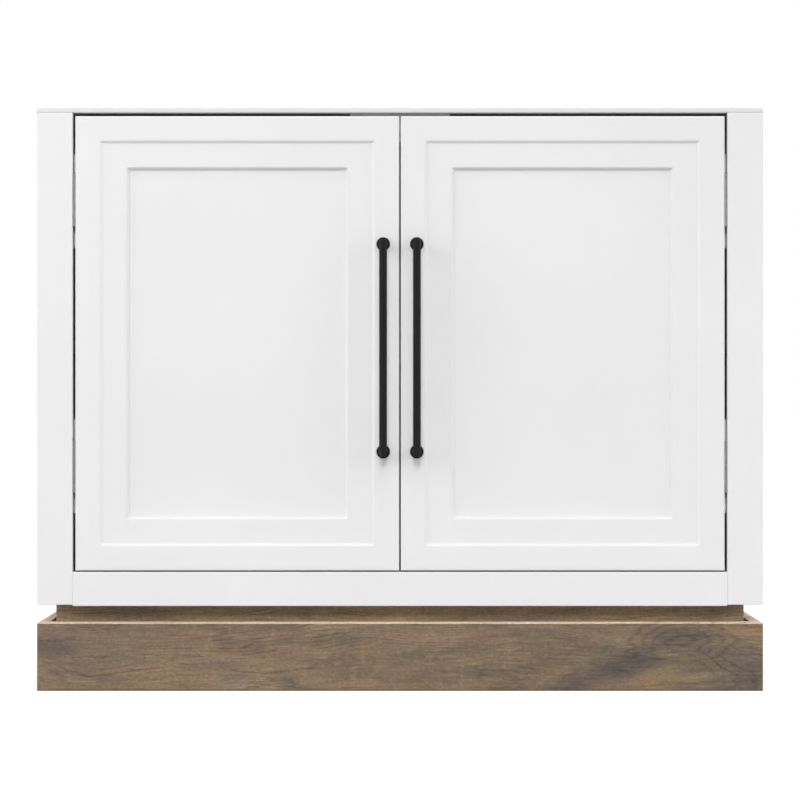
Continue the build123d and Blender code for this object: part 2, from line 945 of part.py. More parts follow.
def make_door_screws(side):
    """The small screws that go into one door: its hinge leaves' and its strike plate's."""
    with BuildPart() as screws:
        with Locations(*door_leaf_screw_planes(side), strike_screw_plane(side)):
            add(small_screw)
    return screws


# Handles: a round bar on two turned posts
def make_handle_bar(side):
    """The bar, with a narrower cap at each end and a socket for each post."""
    lower_end = handle_heights[1] - handle_overhang
    upper_end = handle_heights[0] + handle_overhang
    with BuildPart() as bar:
        with BuildSketch(Plane((side * handle_x, handle_axis_y, lower_end))):
            Circle(handle_cap_diameter / 2)
        extrude(amount=upper_end - lower_end)
        fillet(bar.edges().filter_by(GeomType.CIRCLE), handle_cap_ease)
        with BuildSketch(Plane((side * handle_x, handle_axis_y, lower_end + handle_cap_length))):
            Circle(handle_bar_diameter / 2)
        extrude(amount=upper_end - lower_end - handle_cap_length * 2)
        for height in handle_heights:
            with BuildSketch(facing((side * handle_x, handle_axis_y, height), (0, 1, 0))):
                Circle(spigot_diameter / 2 + fit_clearance)
            extrude(amount=handle_bar_diameter, mode=Mode.SUBTRACT)
    return bar


def make_handle_posts(side):
    """Both posts: a stepped rosette, a stem hollowed to the bar and a spigot into it."""
    bar_back = handle_projection - handle_bar_diameter
    axis_distance = handle_projection - handle_bar_radius
    with BuildPart() as post:
        with BuildSketch(Plane.XY):
            Circle(rosette_diameter / 2)
        extrude(amount=rosette_thickness)
        fillet(post.edges().filter_by(GeomType.CIRCLE).sort_by(Axis.Z)[-1], rosette_ease)
        with BuildSketch(Plane.XY.offset(rosette_thickness)):
            Circle(rosette_step_diameter / 2)
        extrude(amount=rosette_step_thickness)
        fillet(post.edges().filter_by(GeomType.CIRCLE).sort_by(Axis.Z)[-1], rosette_ease)
        with BuildSketch(Plane.XY.offset(rosette_thickness)):
            Circle(post_diameter / 2)
        extrude(amount=bar_back + saddle_wrap - rosette_thickness)
        with Locations(Plane(origin=(0, 0, axis_distance), z_dir=(0, 1, 0))):
            Cylinder(handle_bar_radius, rosette_diameter, mode=Mode.SUBTRACT)
        with BuildSketch(Plane.XY.offset(bar_back - spigot_length)):
            Circle(spigot_diameter / 2)
        extrude(amount=spigot_length * 2)
        with BuildSketch(Plane.XY):
            Circle(handle_screw_diameter / 2 + thread_clearance)
        extrude(amount=handle_screw_reach + hole_end_gap, mode=Mode.SUBTRACT)
    with BuildPart() as posts:
        with Locations(*handle_planes(side)):
            add(post.part)
    return posts


def make_handle_screws(side):
    """The two screws that hold a handle from behind the door."""
    with BuildPart() as screws:
        with Locations(*handle_planes(side)):
            add(handle_screw)
    return screws


for side_name, side in sides.items():
    members = {
        "hinge_stile": (Vector(side, 0, 0), [(small_screw_hole, door_leaf_screw_planes(side))]),
        "lock_stile": (
            Vector(-side, 0, 0),
            [
                (handle_screw_hole, handle_planes(side)),
                (small_screw_hole, [strike_screw_plane(side)]),
            ],
        ),
        "top_rail": (Vector(0, 0, 1), []),
        "bottom_rail": (Vector(0, 0, -1), []),
    }
    for member_name, (outward, holes) in members.items():
        member = make_member(side, outward, holes)
        save(member, f"{side_name}_door_{member_name}")
    save(make_door_panel(side), f"{side_name}_door_panel")
    save(make_strike_plate(side), f"{side_name}_strike_plate")
    save(make_door_screws(side), f"{side_name}_door_wood_screws")
    save(make_handle_bar(side), f"{side_name}_handle_bar")
    save(make_handle_posts(side), f"{side_name}_handle_posts")
    save(make_handle_screws(side), f"{side_name}_handle_screws")
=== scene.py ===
"""The two-door cabinet dressed and lit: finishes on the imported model, floor, lamps and camera.

Everything is in metres in the model's own frame: X along the width, the doors face -Y, Z up.
Finishes are laid out in the pieces' own coordinates, so they travel with an opening door.
"""

import json
import math

import bpy
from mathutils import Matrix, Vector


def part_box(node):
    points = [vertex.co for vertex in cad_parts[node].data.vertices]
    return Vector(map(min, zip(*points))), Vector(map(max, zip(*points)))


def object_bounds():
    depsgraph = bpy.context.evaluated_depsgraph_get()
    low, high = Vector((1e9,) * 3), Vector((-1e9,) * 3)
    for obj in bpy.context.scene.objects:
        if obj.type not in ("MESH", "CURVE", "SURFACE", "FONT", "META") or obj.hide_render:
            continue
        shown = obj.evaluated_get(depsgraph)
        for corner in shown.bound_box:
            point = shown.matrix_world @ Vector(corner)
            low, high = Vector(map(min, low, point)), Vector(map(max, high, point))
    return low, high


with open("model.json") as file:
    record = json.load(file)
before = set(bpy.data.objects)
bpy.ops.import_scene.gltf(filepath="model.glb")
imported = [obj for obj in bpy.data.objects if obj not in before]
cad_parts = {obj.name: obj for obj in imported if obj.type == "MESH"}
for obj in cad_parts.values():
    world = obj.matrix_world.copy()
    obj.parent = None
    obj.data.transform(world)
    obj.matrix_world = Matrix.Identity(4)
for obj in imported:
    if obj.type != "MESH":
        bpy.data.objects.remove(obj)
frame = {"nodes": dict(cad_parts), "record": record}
cad_low, cad_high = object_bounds()

# The photograph: 800 pixels wide, with the cabinet's width and its floor line in those pixels
image_px = 800.0
cabinet_px = 726.3
floor_below_middle_px = 290.9

# Camera
sensor_width = 36.0
camera_distance = 4.01

# Lamps and sky, as shares of the level at which a colour renders as it is written. Each sun shines
# from its place to the middle of the floor, with its share and its width in degrees.
sky_share = 0.26
suns = {
    "front_sun": ((-0.1, -5.0, 2.5), 0.345, 16.0),
    "high_sun": ((0.0, -2.6, 4.6), 0.12, 26.0),
    "left_sun": ((-4.8, -1.4, 1.5), 0.40, 50.0),
    "right_sun": ((4.8, -1.4, 1.5), 0.36, 50.0),
    "back_sun": ((0.8, 5.0, 2.0), 0.42, 50.0),
}
softbox_place = (-1.8, -2.0, 1.8)
softbox_target = (0.0, 0.0, 0.5)
softbox_watts = 6.0
softbox_side = 1.0

# Floor
floor_reach = 60.0
floor_grey = 0.51
floor_glow = 0.64

# Where most values of a noise lie, and where nearly all do. Below, a name that ends in "turn" is
# the range of a value in which one colour turns into the other.
noise_usual = (0.3, 0.7)
noise_wide = (0.2, 0.8)

# The bevel that finds edges, and how alike the eased and the flat normal are where an edge is full
bevel_samples = 6
edge_match = 0.86

# White lacquer: its tint, its levels in dark and light clouds, its worn edges, its gloss, and how
# far it eases the edges of the carcass and the doors. The top is a darker, duller copy, painted
# shade, so that it doesn't clip to white where a sun lies behind it.
lacquer_tint = (1.0, 1.0, 1.004)
lacquer_levels = (0.836, 0.868)
lacquer_turn = (0.32, 0.68)
lacquer_worn = (0.80, 0.79, 0.77)
lacquer_specular = 0.42
lacquer_ease = 0.0007
door_ease = 0.0003
top_painted_shade = 0.955
top_specular = 0.08

# How far the lacquer rounds the steps of a door's members, and the distances from a mitre where
# that starts and is full
step_fill = 0.0034
mitre_fade = (0.0040, 0.0080)

# Stained boards: the axis of the grain, the board's place in the noise, and its tone
stained_boards = {
    "plinth_front_board": ("X", 0.0, 0.87),
    "plinth_left_board": ("Y", 2.3, 0.93),
    "plinth_right_board": ("Y", 5.1, 0.93),
    # Painted light: the base boards' tones above 1 are a lighter copy of the stain, for boards that
    # stand in shade under the cabinet
    "base_front_board": ("X", 7.7, 2.0),
    "base_left_board": ("Y", 9.4, 1.25),
    "base_right_board": ("Y", 11.9, 1.25),
}
figured_board = "plinth_front_board"

# Noises in stained wood: scale along the grain and across it, detail, roughness and warp
wood_noises = {
    "sway": (2.6, 8.0, 2.0, 0.5, 0.0),
    "drift": (2.6, 1.0, 1.0, 0.5, 0.0),
    "ripple": (14.0, 90.0, 4.0, 0.55, 0.0),
    "cloud": (4.6, 20.0, 5.0, 0.6, 0.5),
    "olive": (16.9, 59.8, 4.0, 0.6, 0.6),
    "red": (27.2, 102.0, 4.0, 0.6, 0.0),
    "cool": (5.2, 24.0, 5.0, 0.62, 0.9),
    "mottle": (90.0, 34.0, 3.0, 0.6, 0.0),
    "streak": (17.0, 330.0, 4.0, 0.66, 0.0),
    "fibre": (46.0, 760.0, 3.0, 0.6, 0.0),
    "tick": (120.0, 560.0, 2.0, 0.5, 0.0),
    "fleck": (190.0, 240.0, 2.0, 0.6, 0.0),
}

# Growth rings: how far the log's heart wanders below the board and behind it, how far a ring
# ripples, a ring's width and how narrow its late wood is
heart_up = (-0.042, 0.010)
heart_behind = (0.036, 0.080)
ring_ripple = 0.0026
ring_width = 0.0038
ring_narrow = 4.0

# Where rings fade: the range of the noise, and how much of them is left at its ends. Seasons are
# stretched across the rings, by board and along the grain.
ripple_fading = (0.36, 0.60, 0.10, 1.0)
season_fading = (0.36, 0.62, 0.25, 1.0)
season_stretch = (210.0, 1.0, 3.0)

# Clouds of stain, and the layers over them: the noise that a layer follows, where in it the layer
# starts and is full, its share there, and its colour
stain_dark = (0.166, 0.119, 0.081)
stain_light = (0.302, 0.206, 0.122)
stain_turn = (0.38, 0.62)
stain_layers = (
    ("olive", 0.52, 0.66, 0.52, (0.274, 0.204, 0.108)),
    ("red", 0.54, 0.68, 0.46, (0.320, 0.188, 0.120)),
    ("cool", 0.52, 0.68, 0.68, (0.124, 0.102, 0.086)),
    ("mottle", 0.54, 0.76, 0.32, (0.370, 0.275, 0.190)),
)

# What the grain does to the colour: each noise's range, and the factors at its ends
late_shade = (1.05, 0.62)
grain_shades = (
    ("streak", *noise_usual, 0.87, 1.13),
    ("fibre", *noise_usual, 0.91, 1.09),
    ("tick", 0.58, 0.76, 1.0, 1.30),
    ("fleck", *noise_usual, 0.85, 1.15),
)

# The burl: its place along and up the board, its size, how far its outline wavers up and how many
# times that along, how far it pushes the rings aside, and how it calms their ripple
burl_centre = (0.415, 0.074)
burl_size = (0.066, 0.028)
burl_waver = 0.010
waver_along = 2.0
burl_push = 0.018
burl_calm = (0.0, 0.6, 1.0, 0.2)

# Loops that close around the burl: how many, how narrow, where they fade in, and their shades
burl_loops = 4.5
loop_narrow = 3.0
loop_fading = (0.04, 0.20)
loop_shade = (1.06, 0.76)

# Patches of the figured board: centre, size, turn in degrees, share and colour. Streaks break them.
streak_breaks = (0.34, 0.62, 1.0, 0.62)
figure_patches = (
    ((0.420, 0.050), (0.190, 0.090), 0.0, 0.52, (0.118, 0.094, 0.080)),
    ((0.292, 0.022), (0.100, 0.016), 17.0, 0.98, (0.074, 0.064, 0.059)),
    ((0.345, 0.046), (0.052, 0.014), 28.0, 0.90, (0.078, 0.069, 0.065)),
    ((0.421, 0.082), (0.046, 0.010), -3.0, 0.92, (0.084, 0.072, 0.064)),
    ((0.500, 0.026), (0.060, 0.026), 8.0, 0.85, (0.092, 0.080, 0.076)),
    ((-0.234, 0.018), (0.014, 0.018), 0.0, 0.60, (0.140, 0.116, 0.096)),
    ((-0.151, 0.018), (0.010, 0.012), 0.0, 0.60, (0.140, 0.116, 0.096)),
    ((0.305, 0.012), (0.030, 0.010), 0.0, 0.60, (0.290, 0.178, 0.118)),
    ((0.363, 0.014), (0.028, 0.008), 0.0, 0.60, (0.300, 0.182, 0.116)),
    ((0.388, 0.026), (0.022, 0.012), 0.0, 0.60, (0.330, 0.236, 0.110)),
    ((-0.505, 0.070), (0.036, 0.026), 0.0, 0.75, (0.102, 0.086, 0.078)),
    ((-0.450, 0.045), (0.110, 0.070), 0.0, 0.38, (0.150, 0.118, 0.092)),
    ((0.397, 0.054), (0.030, 0.006), 0.0, 0.60, (0.330, 0.240, 0.150)),
    ((0.425, 0.016), (0.050, 0.008), 8.0, 0.65, (0.340, 0.246, 0.134)),
    ((0.300, 0.080), (0.060, 0.007), -12.0, 0.40, (0.320, 0.236, 0.134)),
    ((-0.215, 0.010), (0.050, 0.010), 0.0, 0.45, (0.430, 0.325, 0.245)),
    ((0.516, 0.088), (0.034, 0.008), -9.0, 0.85, (0.400, 0.225, 0.125)),
)

# Edges of stained boards: painted light, paler on the top edge by how far it faces up, the
# darkening by height above the floor, and the worn arrises
painted_light_dark = (0.520, 0.415, 0.300)
painted_light_bright = (0.660, 0.540, 0.405)
painted_light_turn = (0.45, 0.65)
low_edge_darkening = (0.0014, 0.0036, 0.60, 1.0)
wood_worn = (0.330, 0.262, 0.190)

# Face of birch plywood, with the dark lines of its peeled veneer. Its noises are stretched along
# the grain, across it and through the board.
ply_dark = (0.560, 0.420, 0.275)
ply_light = (0.690, 0.555, 0.395)
ply_clouds = (1.6, 11.0, 60.0)
peel_colour = (0.445, 0.305, 0.180)
peel_share = 0.25
peel_lines = 34.0
peel_narrow = 3.0
peel_swirls = (1.1, 5.5, 30.0)

# Edges of birch plywood: the thickness of a dark and a light veneer together, and their colours.
# The turn from edge to face is by how far the surface faces along the thickness.
veneer_pair = 0.0028
veneer_dark = (0.330, 0.215, 0.125)
veneer_light = (0.610, 0.470, 0.315)
veneer_turn = (-0.25, 0.25)
face_turn = (0.4, 0.6)

# Dowels
beech_dark = (0.500, 0.360, 0.220)
beech_light = (0.650, 0.500, 0.330)
beech_fleck = (0.300, 0.180, 0.100)
fleck_turn = (0.62, 0.70)

# Black coat, with the stretch of its brushing
coat_dark = (0.0052, 0.0052, 0.0056)
coat_light = (0.0108, 0.0108, 0.0113)
coat_worn = (0.034, 0.034, 0.035)
coat_brushing = (1500.0, 1500.0, 22.0)

# Nickel plate, with the stretch and shades of its brushing. The hinges' plate is a darker copy,
# painted shade, so that the gaps beside the doors look as grey as in the photograph.
nickel_dark = (0.520, 0.515, 0.500)
nickel_light = (0.640, 0.635, 0.620)
nickel_worn = (0.74, 0.74, 0.73)
nickel_turn = (0.35, 0.65)
nickel_brushing = (1700.0, 1700.0, 60.0)
nickel_shades = (0.94, 1.04)
hinge_shade = 0.40

# Catch and magnets
plastic_dark = (0.70, 0.70, 0.685)
plastic_light = (0.77, 0.77, 0.76)
magnet_dark = (0.030, 0.030, 0.033)
magnet_light = (0.085, 0.083, 0.082)
magnet_turn = (0.35, 0.65)


class Finish:
    """A material's nodes, with short calls for the steps that the finishes are made of."""

    def __init__(self, name):
        self.material = bpy.data.materials.new(name)
        self.material.use_nodes = True
        self.tree = self.material.node_tree
        self.shader = self.tree.nodes["Principled BSDF"]
        coordinates = self.tree.nodes.new("ShaderNodeTexCoord")
        self.place = coordinates.outputs["Object"]
        self.facing = coordinates.outputs["Normal"]

    def node(self, kind, inputs=None, **settings):
        """A new node with these settings, its inputs linked or set."""
        made = self.tree.nodes.new(kind)
        for key, value in settings.items():
            setattr(made, key, value)
        for key, value in (inputs or {}).items():
            self.feed(made.inputs[key], value)
        return made

    def feed(self, socket, value):
        """Links an output to the socket, or sets the socket's value."""
        if isinstance(value, bpy.types.NodeSocket):
            self.tree.links.new(value, socket)
        elif isinstance(value, tuple) and len(value) < len(getattr(socket, "default_value", value)):
            socket.default_value = (*value, 1.0)
        else:
            socket.default_value = value

    def calc(self, operation, first, second=0.0):
        """One step of arithmetic."""
        return self.node("ShaderNodeMath", {0: first, 1: second}, operation=operation).outputs[0]

    def split(self, vector):
        """The three values of a vector."""
        return self.node("ShaderNodeSeparateXYZ", {"Vector": vector}).outputs

    def join(self, first, second, third):
        """A vector of three values."""
        return self.node("ShaderNodeCombineXYZ", {0: first, 1: second, 2: third}).outputs[0]

    def stretch(self, vector, *scale):
        """The vector scaled along each axis."""
        inputs = {"Vector": vector, "Scale": scale}
        return self.node("ShaderNodeMapping", inputs).outputs["Vector"]

    def noise(self, vector, scale=1.0, detail=2.0, roughness=0.5, warp=0.0):
        """Noise from 0 to 1."""
        inputs = {"Vector": vector, "Scale": scale, "Detail": detail, "Roughness": roughness,
                  "Distortion": warp}
        return self.node("ShaderNodeTexNoise", inputs).outputs["Fac"]

    def grain(self, vector, along, across, detail, roughness=0.5, warp=0.0):
        """Noise drawn out along the vector's first axis."""
        drawn_out = self.stretch(vector, along, across, across)
        return self.noise(drawn_out, detail=detail, roughness=roughness, warp=warp)

    def span(self, value, low, high, to_low=0.0, to_high=1.0):
        """The value's range from low to high mapped to another range, and held at its ends."""
        inputs = {"Value": value, "From Min": low, "From Max": high, "To Min": to_low,
                  "To Max": to_high}
        return self.node("ShaderNodeMapRange", inputs).outputs["Result"]

    def vary(self, noise, to_low, to_high):
        """A noise mapped to another range."""
        return self.span(noise, *noise_usual, to_low, to_high)

    def waves(self, value, turns, narrow):
        """Waves from 0 to 1 with narrow crests, with so many turns while the value grows by 1."""
        wave = self.calc("SINE", self.calc("MULTIPLY", value, math.tau * turns))
        return self.calc("POWER", self.span(wave, -1.0, 1.0), narrow)

    def mix(self, share, first, second, blend="MIX"):
        """Two colours mixed by a share from 0 to 1."""
        made = self.node("ShaderNodeMix", data_type="RGBA", blend_type=blend)
        # Its sockets for colours come after those for numbers and vectors
        factor, low, high = made.inputs[0], made.inputs[6], made.inputs[7]
        for socket, value in ((factor, share), (low, first), (high, second)):
            self.feed(socket, value)
        return made.outputs[2]

    def tones(self, value, dark, light, within=noise_usual):
        """A colour that goes from dark to light while the value goes through a range."""
        return self.mix(self.span(value, *within), dark, light)

    def scaled(self, colour, value):
        """The colour made darker or lighter by a value."""
        return self.mix(1.0, colour, self.join(value, value, value), blend="MULTIPLY")

    def blob(self, across, up, centre, size, turn=0.0):
        """A soft oval from 1 at its centre to 0, turned by degrees in the plane of two values."""
        angle = math.radians(turn)
        first = self.calc("SUBTRACT", across, centre[0])
        second = self.calc("SUBTRACT", up, centre[1])
        squares = []
        for side, lean, reach in (
            (math.cos(angle), math.sin(angle), size[0]),
            (-math.sin(angle), math.cos(angle), size[1]),
        ):
            straight = self.calc("MULTIPLY", first, side / reach)
            leaned = self.calc("MULTIPLY", second, lean / reach)
            along = self.calc("ADD", straight, leaned)
            squares.append(self.calc("MULTIPLY", along, along))
        return self.calc("EXPONENT", self.calc("MULTIPLY", self.calc("ADD", *squares), -1.0))

    def edge(self, radius):
        """1 close to the piece's own edges and 0 elsewhere, and the normal with the edges eased."""
        bevel = self.node("ShaderNodeBevel", {"Radius": radius}, samples=bevel_samples)
        eased = bevel.outputs["Normal"]
        flat = self.node("ShaderNodeNewGeometry").outputs["Normal"]
        match = self.node("ShaderNodeVectorMath", {0: eased, 1: flat}, operation="DOT_PRODUCT")
        return self.span(match.outputs["Value"], 1.0, edge_match), eased

    def wear(self, colour, worn_colour, share, radius):
        """The colour worn by a share close to the piece's edges, and the normal eased there."""
        worn, eased = self.edge(radius)
        return self.mix(self.calc("MULTIPLY", worn, share), colour, worn_colour), eased

    def relief(self, height, distance, eased=None):
        """Bump of a height from 0 to 1 over a distance in metres, on the eased normal if given."""
        made = self.node("ShaderNodeBump", {"Height": height, "Distance": distance})
        if eased:
            self.feed(made.inputs["Normal"], eased)
        self.feed(self.shader.inputs["Normal"], made.outputs["Normal"])

    def give(self, values):
        """The material, with the shader's inputs linked or set."""
        for key, value in values.items():
            self.feed(self.shader.inputs[key], value)
        return self.material


def white_lacquer(name, ease, tone=1.0, specular=lacquer_specular, door=None):
    """Sprayed satin lacquer with faint clouds and orange peel, thinner and warmer at its edges.

    A door is given by its middle and half its size across X and Z. The lacquer fills out the steps
    of its members, except close to the mitres, whose joints stay closed.
    """
    finish = Finish(name)
    cloud = finish.noise(finish.place, scale=3.4, detail=3.0)
    dark, light = (level * tone for level in lacquer_levels)
    colour = finish.scaled(lacquer_tint, finish.span(cloud, *lacquer_turn, dark, light))
    colour, eased = finish.wear(colour, lacquer_worn, share=0.35, radius=ease)
    if door:
        x, _, z = finish.split(finish.place)
        insets = []
        for value, (middle, half) in zip((x, z), door):
            off = finish.calc("ABSOLUTE", finish.calc("SUBTRACT", value, middle))
            insets.append(finish.calc("SUBTRACT", half, off))
        from_mitre = finish.calc("ABSOLUTE", finish.calc("SUBTRACT", *insets))
        filled = finish.edge(step_fill)[1]
        eased = finish.mix(finish.span(from_mitre, *mitre_fade), eased, filled)
    rubbed = finish.noise(finish.place, scale=34.0, detail=4.0)
    peel = finish.noise(finish.place, scale=520.0, detail=1.0)
    finish.relief(peel, distance=0.00004, eased=eased)
    return finish.give({
        "Base Color": colour,
        "Roughness": finish.vary(rubbed, 0.33, 0.42),
        "Specular IOR Level": specular,
    })


def door_lacquer(side):
    """The lacquer of one door's members and panel."""
    hinge_low, hinge_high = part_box(f"{side}_door_hinge_stile")
    lock_low, lock_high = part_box(f"{side}_door_lock_stile")
    ends = (min(hinge_low.x, lock_low.x), max(hinge_high.x, lock_high.x))
    door = [
        ((low + high) / 2, (high - low) / 2) for low, high in (ends, (hinge_low.z, hinge_high.z))
    ]
    return white_lacquer(f"white_lacquer_{side}_door", door_ease, door=door)


def add_burl(finish, noises, length, height, rings, wander, colour):
    """Rings, their wander and the colour with a burl's figure, and the loops around the burl."""
    loose = finish.vary(noises["cool"], -burl_waver, burl_waver)
    wide = finish.calc("ADD", length, finish.calc("MULTIPLY", loose, waver_along))
    tall = finish.calc("ADD", height, loose)
    burl = finish.blob(wide, tall, burl_centre, burl_size)
    rings = finish.calc("SUBTRACT", rings, finish.calc("MULTIPLY", burl, burl_push))
    wander = finish.calc("MULTIPLY", wander, finish.span(burl, *burl_calm))
    loops = finish.waves(burl, burl_loops, loop_narrow)
    loops = finish.calc("MULTIPLY", loops, finish.span(burl, *loop_fading))
    broken = finish.span(noises["streak"], *streak_breaks)
    for centre, size, turn, share, stain in figure_patches:
        patch = finish.blob(wide, tall, centre, size, turn)
        taken = finish.calc("MULTIPLY", patch, finish.calc("MULTIPLY", broken, share))
        colour = finish.mix(taken, colour, stain)
    return rings, wander, colour, loops


def stained_wood(name, node, along, seed, tone):
    """Grey-brown stained board with its grain along X or Y, with painted light that makes its top
    edge paler.

    The figure is the growth rings of a log whose heart lies behind the board, cut flat. One board
    has a burl near its right end, with dark figure running up to it.
    """
    finish = Finish(name)
    low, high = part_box(node)
    x, y, z = finish.split(finish.place)
    length, depth = (x, y) if along == "X" else (y, x)
    middle = (low.y + high.y if along == "X" else low.x + high.x) / 2
    inner = finish.calc("SUBTRACT", depth, middle)
    spot = finish.join(finish.calc("ADD", length, seed), z, inner)
    noises = {title: finish.grain(spot, *values) for title, values in wood_noises.items()}

    # Distance from the log's heart, and how far the rings wander from that
    up = finish.calc("ADD", z, finish.span(noises["sway"], *noise_wide, *heart_up))
    behind = finish.calc("ADD", inner, finish.span(noises["drift"], *noise_wide, *heart_behind))
    squares = [finish.calc("MULTIPLY", value, value) for value in (up, behind)]
    rings = finish.calc("SQRT", finish.calc("ADD", *squares))
    wander = finish.span(noises["ripple"], *noise_wide, -ring_ripple, ring_ripple)

    # Stain taken up in clouds, olive, red and cool patches, and faint marks across the grain
    colour = finish.tones(noises["cloud"], stain_dark, stain_light, within=stain_turn)
    for layer, start, full, share, stain in stain_layers:
        colour = finish.mix(finish.span(noises[layer], start, full, 0.0, share), colour, stain)
    if node == figured_board:
        rings, wander, colour, loops = add_burl(finish, noises, length, z, rings, wander, colour)

    # Late wood in each ring, weaker in some places and seasons, then streaks, fibres and flecks
    rings = finish.calc("ADD", rings, wander)
    late = finish.waves(rings, 1.0 / ring_width, ring_narrow)
    late = finish.calc("MULTIPLY", late, finish.span(noises["ripple"], *ripple_fading))
    season = finish.stretch(finish.join(rings, seed, length), *season_stretch)
    season = finish.noise(season, detail=1.0)
    late = finish.calc("MULTIPLY", late, finish.span(season, *season_fading))
    shade = finish.span(late, 0.0, 1.0, *late_shade)
    for title, *values in grain_shades:
        shade = finish.calc("MULTIPLY", shade, finish.span(noises[title], *values))
    if node == figured_board:
        shade = finish.calc("MULTIPLY", shade, finish.span(loops, 0.0, 1.0, *loop_shade))
    colour = finish.scaled(colour, finish.calc("MULTIPLY", shade, tone))

    # Painted light: top edges and their eases are paler where they face up, as if lit from above
    rise = finish.split(finish.facing)[2]
    painted_light = finish.scaled(finish.tones(noises["cloud"], painted_light_dark, painted_light_bright), shade)
    colour = finish.tones(rise, colour, painted_light, within=painted_light_turn)

    # The lowest edge is darker towards the floor
    colour = finish.scaled(colour, finish.span(z, *low_edge_darkening))

    colour, eased = finish.wear(colour, wood_worn, share=0.30, radius=0.0009)
    finish.relief(shade, distance=0.00025, eased=eased)
    return finish.give({
        "Base Color": colour,
        "Roughness": finish.vary(noises["fibre"], 0.50, 0.66),
        "Specular IOR Level": 0.30,
    })


def birch_ply(name, through):
    """Clear-lacquered birch plywood, with its veneers showing on the edges across `through`."""
    finish = Finish(name)
    values = finish.split(finish.place)
    turned = finish.split(finish.facing)
    index = "XYZ".index(through)
    long, wide = (1, 2) if index == 0 else (0, 3 - index)
    spot = finish.join(values[long], values[wide], values[index])
    cloud = finish.noise(finish.stretch(spot, *ply_clouds), detail=3.0, warp=0.6)
    fibre = finish.grain(spot, along=12.0, across=420.0, detail=3.0, roughness=0.6)

    # Its face
    face = finish.tones(cloud, ply_dark, ply_light)
    face = finish.scaled(face, finish.vary(fibre, 0.92, 1.05))
    swirl = finish.stretch(spot, *peel_swirls)
    swirl = finish.noise(swirl, detail=2.5, roughness=0.45, warp=0.3)
    peeled = finish.waves(swirl, peel_lines, peel_narrow)
    face = finish.mix(finish.calc("MULTIPLY", peeled, peel_share), face, peel_colour)

    # Its edges
    layer = finish.calc("SINE", finish.calc("MULTIPLY", values[index], math.tau / veneer_pair))
    edge = finish.tones(layer, veneer_dark, veneer_light, within=veneer_turn)
    edge = finish.scaled(edge, finish.vary(fibre, 0.85, 1.06))
    flat = finish.calc("ABSOLUTE", turned[index])
    finish.relief(fibre, distance=0.00012, eased=finish.edge(0.0005)[1])
    return finish.give({
        "Base Color": finish.tones(flat, edge, face, within=face_turn),
        "Roughness": finish.vary(cloud, 0.42, 0.54),
        "Specular IOR Level": 0.4,
    })


def dowel_wood():
    """Bare beech dowel with short brown flecks."""
    finish = Finish("beech_dowel")
    fibre = finish.grain(finish.place, along=30.0, across=900.0, detail=3.0)
    fleck = finish.grain(finish.place, along=260.0, across=1800.0, detail=2.0)
    colour = finish.tones(fibre, beech_dark, beech_light)
    colour = finish.tones(fleck, colour, beech_fleck, within=fleck_turn)
    finish.relief(fibre, distance=0.0001)
    return finish.give({"Base Color": colour, "Roughness": 0.7})


def black_metal():
    """Matt black powder coat over brushed bar, with the brushing showing through along Z."""
    finish = Finish("black_powder_coat")
    brush = finish.stretch(finish.place, *coat_brushing)
    brush = finish.noise(brush, detail=3.0, roughness=0.6)
    grain = finish.noise(finish.place, scale=1600.0, detail=1.0)
    colour = finish.tones(brush, coat_dark, coat_light)
    colour, eased = finish.wear(colour, coat_worn, share=0.4, radius=0.0005)
    finish.relief(finish.calc("ADD", brush, grain), distance=0.00003, eased=eased)
    return finish.give({
        "Base Color": colour,
        "Roughness": finish.vary(brush, 0.36, 0.50),
        "Specular IOR Level": 0.12,
    })


def nickel_steel(name, tone=1.0):
    """Satin nickel plate with fine brushing and a few dull spots."""
    finish = Finish(name)
    brush = finish.noise(finish.stretch(finish.place, *nickel_brushing), detail=3.0)
    spot = finish.noise(finish.place, scale=130.0, detail=4.0)
    colour = finish.tones(spot, nickel_dark, nickel_light, within=nickel_turn)
    colour, eased = finish.wear(colour, nickel_worn, share=0.4, radius=0.0003)
    colour = finish.scaled(colour, finish.vary(brush, *(shade * tone for shade in nickel_shades)))
    finish.relief(brush, distance=0.00002, eased=eased)
    return finish.give({
        "Base Color": colour,
        "Metallic": 1.0,
        "Roughness": finish.vary(brush, 0.26, 0.40),
    })


def catch_plastic():
    """Spark-textured white plastic."""
    finish = Finish("catch_plastic_moulded")
    grain = finish.noise(finish.place, scale=2400.0, detail=2.0)
    cloud = finish.noise(finish.place, scale=60.0, detail=3.0)
    colour = finish.tones(cloud, plastic_dark, plastic_light)
    finish.relief(grain, distance=0.00004, eased=finish.edge(0.0004)[1])
    return finish.give({"Base Color": colour, "Roughness": 0.46})


def sintered_magnet():
    """Dark sintered magnet with a coarse grain."""
    finish = Finish("sintered_magnet")
    grain = finish.noise(finish.place, scale=900.0, detail=5.0, roughness=0.65)
    colour = finish.tones(grain, magnet_dark, magnet_light, within=magnet_turn)
    finish.relief(grain, distance=0.00008, eased=finish.edge(0.0003)[1])
    return finish.give({"Base Color": colour, "Roughness": 0.58, "Metallic": 0.3})


